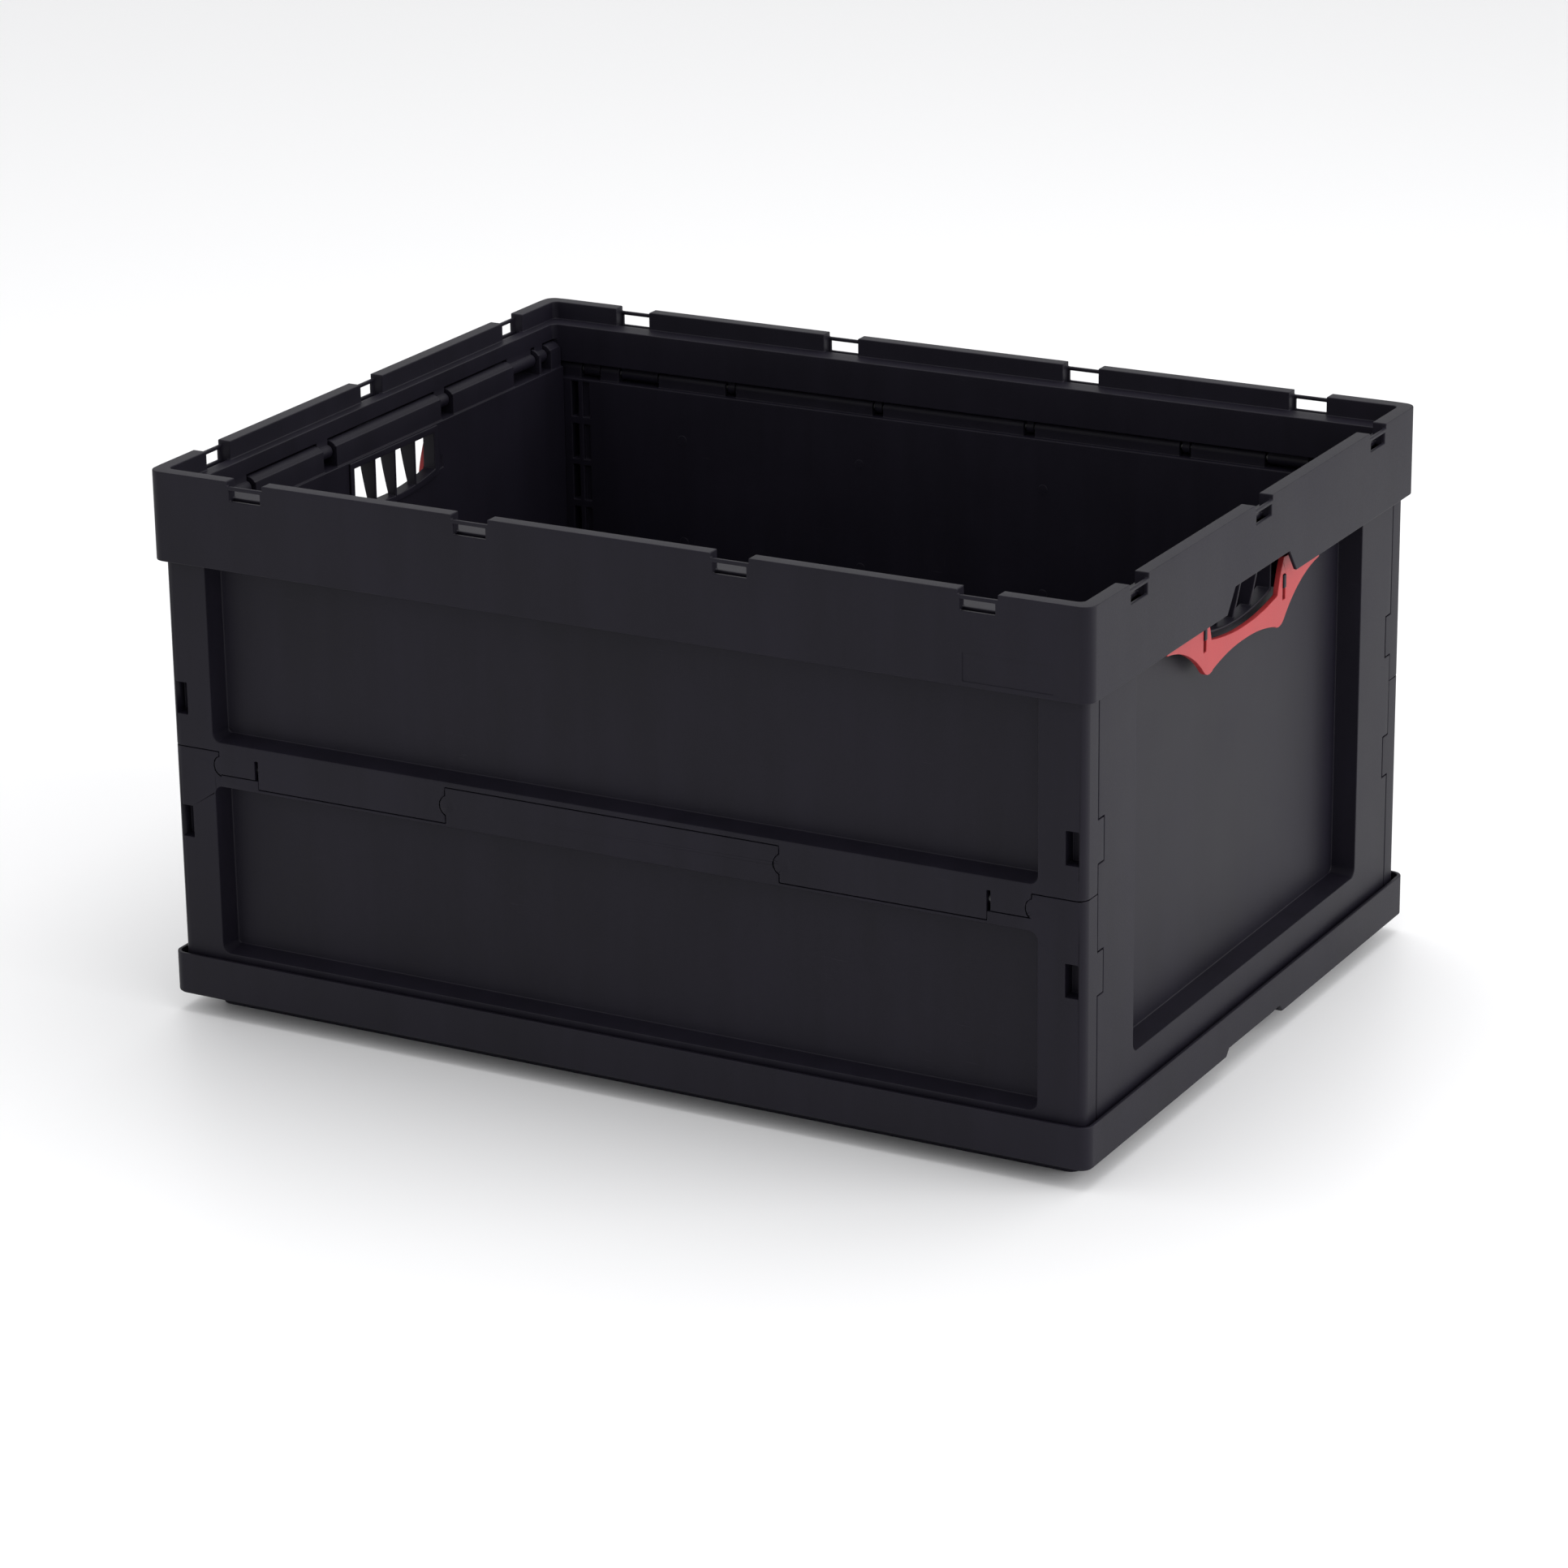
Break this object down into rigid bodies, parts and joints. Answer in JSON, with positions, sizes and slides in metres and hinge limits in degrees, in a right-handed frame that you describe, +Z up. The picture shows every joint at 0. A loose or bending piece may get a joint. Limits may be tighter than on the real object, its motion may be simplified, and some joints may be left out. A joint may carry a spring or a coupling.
{
  "type": "folding box",
  "caption": "Open folding transport box in charcoal plastic: tray, top frame, hinged half walls along the sides and end walls with red release slides.",
  "frame": {"origin": "centre of the footprint, on the surface the box stands on", "axes": "+X along the length towards the right end wall, +Y along the width towards the back, +Z up"},
  "size_m": [0.8, 0.6, 0.445],
  "materials": {
    "body_plastic": "moulded charcoal polypropylene, fine grain",
    "slide_plastic": "moulded red polypropylene",
    "rod_steel": "drawn steel wire rod",
    "spring_steel": "spring steel wire"
  },
  "bodies": {
    "box": {"base_tray": "body_plastic", "top_frame": "body_plastic", "front_lower_panel": "body_plastic", "front_upper_panel": "body_plastic", "front_base_hinge_rod": "rod_steel", "front_middle_hinge_rod": "rod_steel", "front_frame_hinge_rod": "rod_steel", "back_lower_panel": "body_plastic", "back_upper_panel": "body_plastic", "back_base_hinge_rod": "rod_steel", "back_middle_hinge_rod": "rod_steel", "back_frame_hinge_rod": "rod_steel", "right_end_hinge_rod": "rod_steel", "left_end_hinge_rod": "rod_steel"},
    "right_wall": {"right_end_wall": "body_plastic", "right_grip_insert": "body_plastic", "right_release_springs": "spring_steel"},
    "right_slide": {"right_release_slide": "slide_plastic"},
    "left_wall": {"left_end_wall": "body_plastic", "left_grip_insert": "body_plastic", "left_release_springs": "spring_steel"},
    "left_slide": {"left_release_slide": "slide_plastic"}
  },
  "joints": [
    {"name": "right_wall_swing", "type": "hinge", "parent": "box", "child": "right_wall", "pos_m": [0.381, 0, 0.4065], "axis": [0, 1, 0], "range_deg": [0, 90]},
    {"name": "right_slide_lift", "type": "slide", "parent": "right_wall", "child": "right_slide", "axis": [0, 0, 1], "range_m": [0, 0.009], "stiffness_N_per_m": 600, "springref_m": -0.004, "deforming": ["right_release_springs"]},
    {"name": "left_wall_swing", "type": "hinge", "parent": "box", "child": "left_wall", "pos_m": [-0.381, 0, 0.4065], "axis": [0, -1, 0], "range_deg": [0, 90]},
    {"name": "left_slide_lift", "type": "slide", "parent": "left_wall", "child": "left_slide", "axis": [0, 0, 1], "range_m": [0, 0.009], "stiffness_N_per_m": 600, "springref_m": -0.004, "deforming": ["left_release_springs"]}
  ]
}
